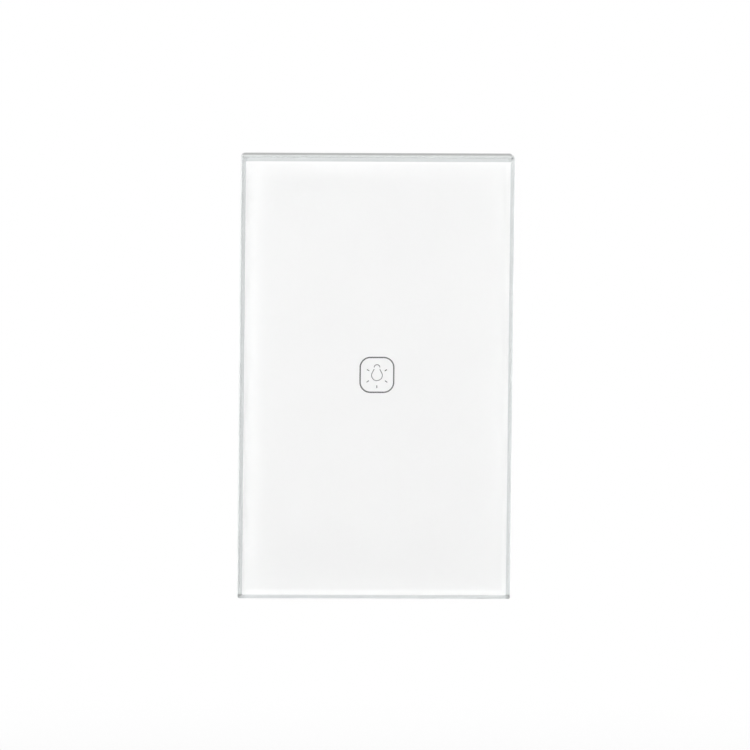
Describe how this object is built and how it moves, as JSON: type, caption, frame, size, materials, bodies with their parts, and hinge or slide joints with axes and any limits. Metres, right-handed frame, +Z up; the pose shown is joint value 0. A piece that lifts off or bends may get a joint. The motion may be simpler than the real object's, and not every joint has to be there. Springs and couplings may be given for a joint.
{
  "type": "smart light switch",
  "caption": "Wall-box light switch with a bevelled white glass touch front on a clip-on carrier, a steel strap, and a rear housing with relay and screw terminals.",
  "frame": {"origin": "on the wall plane, midway between the two box-screw holes of the strap", "axes": "+X right, +Y into the wall (the glass faces -Y), +Z up"},
  "size_m": [0.072, 0.038, 0.118],
  "materials": {
    "clear_glass": "polished",
    "white_ink": "opaque screen-printed ink",
    "grey_ink": "screen-printed ink",
    "tape": "acrylic foam tape",
    "white_plastic": "fine satin",
    "carrier_plastic": "light grey, fine satin",
    "housing_plastic": "fine spark-eroded",
    "tray_plastic": "matte",
    "strap_steel": "zinc plated",
    "screw_steel": "zinc plated",
    "spring_steel": "drawn wire",
    "board_green": "solder mask",
    "board_dark": "solder mask",
    "chip_black": "moulded epoxy",
    "connector_black": "moulded",
    "can_metal": "tinned sheet",
    "gold": "gold flash",
    "lamp_white": "phosphor-filled",
    "milky": "translucent diffuser",
    "ceramic": "sintered",
    "terminal_plastic": "moulded polyamide",
    "zinc": "zinc plated",
    "brass_bar": "stamped",
    "relay_blue": "moulded",
    "relay_dark": "moulded",
    "copper": "enamelled wire",
    "iron": "nickel-plated soft iron",
    "contact_silver": "silver alloy",
    "ferrite": "sintered",
    "bobbin_plastic": "moulded",
    "winding_tape": "polyester tape",
    "sleeve": "shrink sleeve",
    "film_box": "potted box",
    "disc_blue": "epoxy dip",
    "resistor_body": "lacquer"
  },
  "bodies": {
    "root": {"chassis_frame": "white_plastic", "mounting_strap": "strap_steel", "housing_screws": "screw_steel", "insulating_tray": "tray_plastic", "touch_board": "board_green", "touch_chip": "chip_black", "wireless_module": "board_dark", "module_shield": "can_metal", "module_antenna": "gold", "indicator_leds": "lamp_white", "light_guide": "milky", "touch_spring": "spring_steel", "board_passives": "ceramic", "board_screws": "screw_steel", "header_body": "connector_black", "header_pins": "gold", "socket_body": "connector_black", "rear_housing": "housing_plastic", "power_board": "board_green", "terminal_block": "terminal_plastic", "terminal_bars": "brass_bar", "relay_base": "relay_dark", "relay_case": "relay_blue", "relay_bobbin": "relay_dark", "relay_winding": "copper", "relay_core": "iron", "relay_yoke": "iron", "relay_fixed_contact": "contact_silver", "relay_pins": "brass_bar", "transformer_core": "ferrite", "transformer_bobbin": "bobbin_plastic", "transformer_winding": "winding_tape", "main_capacitor": "sleeve", "output_capacitor": "sleeve", "varistor": "disc_blue", "fuse_resistor": "resistor_body", "film_capacitor": "film_box", "rectifier_chip": "chip_black", "driver_chip": "chip_black"},
    "fascia": {"glass_panel": "clear_glass", "back_print": "white_ink", "icon_print": "grey_ink", "adhesive_tape": "tape", "panel_carrier": "carrier_plastic", "snap_claws": "carrier_plastic"},
    "terminal_screw_1": {"terminal_screw_1": "zinc"},
    "clamp_cage_1": {"clamp_cage_1": "zinc"},
    "terminal_screw_2": {"terminal_screw_2": "zinc"},
    "clamp_cage_2": {"clamp_cage_2": "zinc"},
    "terminal_screw_3": {"terminal_screw_3": "zinc"},
    "clamp_cage_3": {"clamp_cage_3": "zinc"},
    "armature": {"relay_armature": "iron", "relay_moving_contact": "contact_silver"}
  },
  "joints": [
    {"name": "fascia_pull", "type": "slide", "parent": "root", "child": "fascia", "axis": [0, -1, 0], "range_m": [0, 0.03], "deforming": ["snap_claws"]},
    {"name": "terminal_screw_1_turn", "type": "hinge", "parent": "root", "child": "terminal_screw_1", "pos_m": [-0.0096, 0.024, -0.0252], "axis": [0, -1, 0], "range_deg": [0, 1800]},
    {"name": "clamp_cage_1_rise", "type": "slide", "parent": "root", "child": "clamp_cage_1", "axis": [0, 1, 0], "range_m": [0, 0.003]},
    {"name": "terminal_screw_2_turn", "type": "hinge", "parent": "root", "child": "terminal_screw_2", "pos_m": [0, 0.024, -0.0252], "axis": [0, -1, 0], "range_deg": [0, 1800]},
    {"name": "clamp_cage_2_rise", "type": "slide", "parent": "root", "child": "clamp_cage_2", "axis": [0, 1, 0], "range_m": [0, 0.003]},
    {"name": "terminal_screw_3_turn", "type": "hinge", "parent": "root", "child": "terminal_screw_3", "pos_m": [0.0096, 0.024, -0.0252], "axis": [0, -1, 0], "range_deg": [0, 1800]},
    {"name": "clamp_cage_3_rise", "type": "slide", "parent": "root", "child": "clamp_cage_3", "axis": [0, 1, 0], "range_m": [0, 0.003]},
    {"name": "armature_tip", "type": "hinge", "parent": "root", "child": "armature", "pos_m": [-0.0123, 0.0238, -0.0114], "axis": [1, 0, 0], "range_deg": [0, 4], "stiffness_Nm_per_rad": 0.02, "springref_deg": -2.86}
  ],
  "couplings": [
    {"joint": "terminal_screw_1_turn", "follows": "clamp_cage_1_rise", "rad_per_m": 10472},
    {"joint": "terminal_screw_2_turn", "follows": "clamp_cage_2_rise", "rad_per_m": 10472},
    {"joint": "terminal_screw_3_turn", "follows": "clamp_cage_3_rise", "rad_per_m": 10472}
  ]
}
